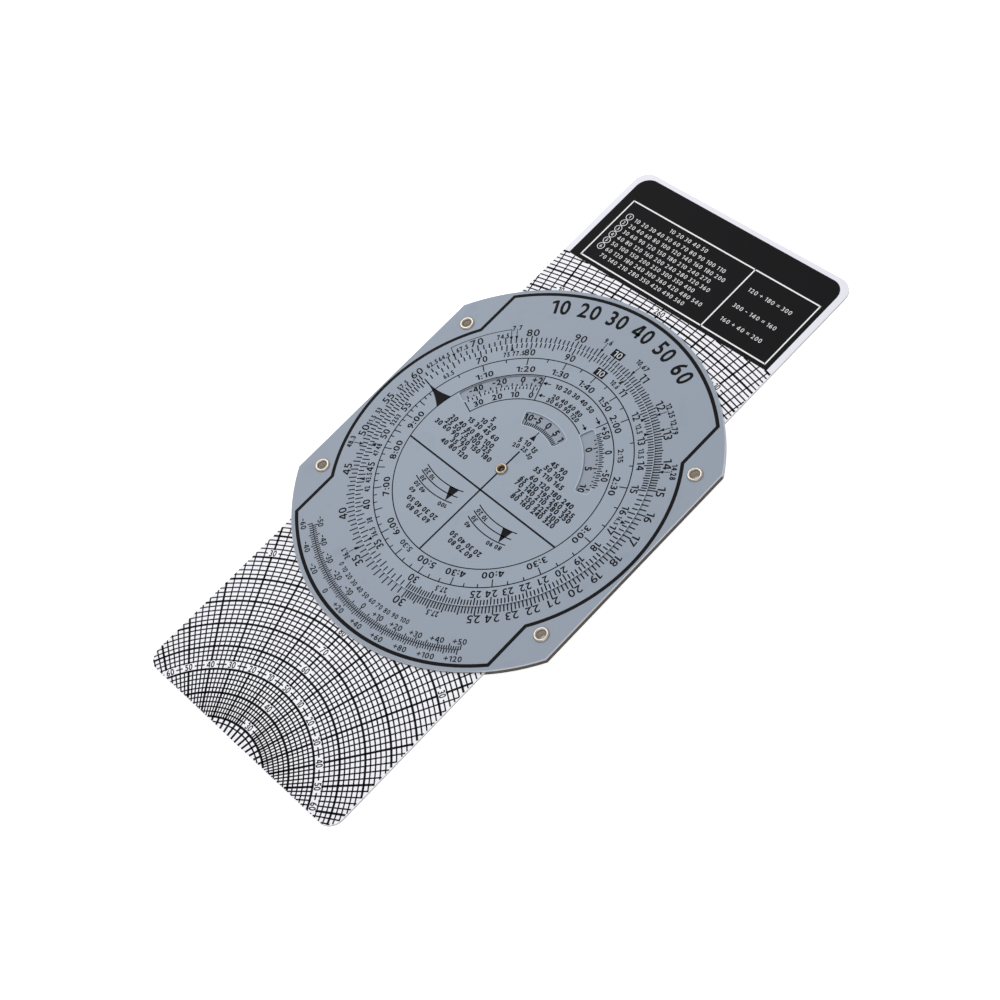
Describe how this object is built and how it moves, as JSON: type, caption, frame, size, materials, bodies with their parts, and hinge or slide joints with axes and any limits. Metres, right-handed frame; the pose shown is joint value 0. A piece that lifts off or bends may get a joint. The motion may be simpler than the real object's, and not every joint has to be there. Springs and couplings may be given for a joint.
{
  "type": "circular slide rule",
  "caption": "Circular slide rule for dead reckoning: riveted plates, a windowed turning disc, a long sliding grid and a clear turning azimuth disc at the rear.",
  "frame": {"origin": "on the pivot axis, in the plane of the eyelets' rear flanges", "axes": "+Y along the slide, towards its dark panel; +Z out of the calculator face; +X to the right when that face is read"},
  "size_m": [0.1288, 0.2541, 0.0045],
  "materials": {
    "grey_sheet": "satin, printed",
    "dark_core": "matt cut edge",
    "white_sheet": "satin, printed",
    "clear_sheet": "clear",
    "nickel": "bright plated",
    "brass": "dulled",
    "black_ink": "screen-printed film",
    "white_ink": "screen-printed film"
  },
  "bodies": {
    "body": {"front_plate": "grey_sheet", "left_rail": "dark_core", "right_rail": "dark_core", "azimuth_seat": "dark_core", "wind_plate": "grey_sheet", "corner_eyelets": "nickel", "pivot_eyelet": "brass", "pivot_washer": "white_sheet"},
    "slide": {"slide": "white_sheet"},
    "calculator": {"calculator_disc": "grey_sheet"},
    "azimuth": {"azimuth_window": "clear_sheet", "azimuth_ring": "grey_sheet", "centre_grommet": "brass"}
  },
  "joints": [
    {"name": "grid_slide", "type": "slide", "parent": "body", "child": "slide", "axis": [0, 1, 0], "range_m": [-0.078, 0.12]},
    {"name": "calculator_turn", "type": "hinge", "parent": "body", "child": "calculator", "pos_m": [0, 0, 0.00365], "axis": [0, 0, 1], "continuous": true},
    {"name": "azimuth_turn", "type": "hinge", "parent": "body", "child": "azimuth", "pos_m": [0, 0, 0.0012], "axis": [0, 0, 1], "continuous": true}
  ]
}
